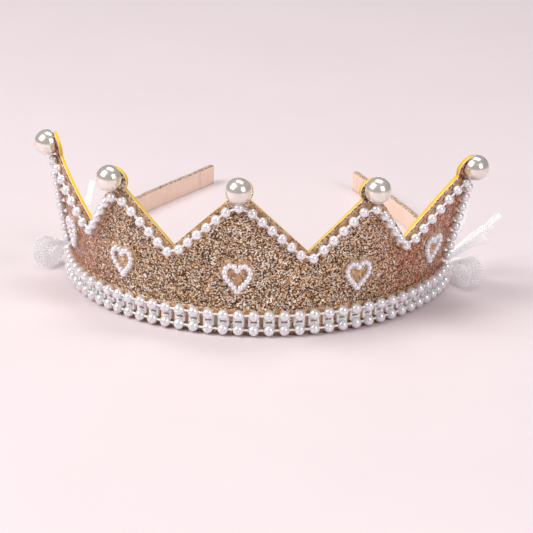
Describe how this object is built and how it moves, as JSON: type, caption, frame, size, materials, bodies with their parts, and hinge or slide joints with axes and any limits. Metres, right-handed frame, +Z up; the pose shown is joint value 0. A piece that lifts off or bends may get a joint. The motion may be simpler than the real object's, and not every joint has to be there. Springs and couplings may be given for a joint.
{
  "type": "crown headband",
  "caption": "Child-size dress-up crown on a flexible headband: glitter points tipped with large pearls, pearl trims, pearl hearts and tulle bows at both ends.",
  "frame": {"origin": "front centre of the headband, on its bottom edge, in the middle of the band thickness", "axes": "+X to the right as seen from the front, +Y towards the back of the head, +Z up"},
  "size_m": [0.1553, 0.1668, 0.0534],
  "materials": {
    "band_plastic": "plain moulded",
    "glitter_ribbon": "bronze glitter ribbon",
    "satin": "champagne satin",
    "glitter_sheet": "coarse rose-bronze glitter",
    "cream_paper": "cream interlining",
    "yellow_foam": "matt yellow foam",
    "large_pearl": "ivory pearl lustre",
    "small_pearl": "white pearl lustre",
    "white_link": "white moulded link",
    "tulle": "sheer white net"
  },
  "bodies": {
    "crown": {"band_core_front": "band_plastic", "base_pearls_lower": "small_pearl", "base_pearls_upper": "small_pearl", "base_trim_links": "white_link", "bow_knot_left": "tulle", "bow_knot_right": "tulle", "bow_loop_lower_left": "tulle", "bow_loop_lower_right": "tulle", "bow_loop_upper_left": "tulle", "bow_loop_upper_right": "tulle", "bow_tail_left": "tulle", "bow_tail_right": "tulle", "crown_backing": "yellow_foam", "crown_facing": "glitter_sheet", "crown_interlining": "cream_paper", "edge_pearls": "small_pearl", "edge_thread": "white_link", "glitter_ribbon_front": "glitter_ribbon", "pearl_heart_centre": "small_pearl", "pearl_heart_left": "small_pearl", "pearl_heart_outer_left": "small_pearl", "pearl_heart_outer_right": "small_pearl", "pearl_heart_right": "small_pearl", "satin_lining_front": "satin", "tip_pearl_centre": "large_pearl", "tip_pearl_left": "large_pearl", "tip_pearl_outer_left": "large_pearl", "tip_pearl_outer_right": "large_pearl", "tip_pearl_right": "large_pearl"},
    "arm_left": {"band_core_arm_left": "band_plastic", "end_wrap_left": "satin", "glitter_ribbon_arm_left": "glitter_ribbon", "satin_lining_arm_left": "satin"},
    "arm_right": {"band_core_arm_right": "band_plastic", "end_wrap_right": "satin", "glitter_ribbon_arm_right": "glitter_ribbon", "satin_lining_arm_right": "satin"}
  },
  "joints": [
    {"name": "arm_flex_left", "type": "hinge", "parent": "crown", "child": "arm_left", "pos_m": [-0.05732, 0.08046, 0.00315], "axis": [0, 0, 1], "range_deg": [-3, 15], "stiffness_Nm_per_rad": 1},
    {"name": "arm_flex_right", "type": "hinge", "parent": "crown", "child": "arm_right", "pos_m": [0.05732, 0.08046, 0.00315], "axis": [0, 0, -1], "range_deg": [-3, 15], "stiffness_Nm_per_rad": 1}
  ]
}
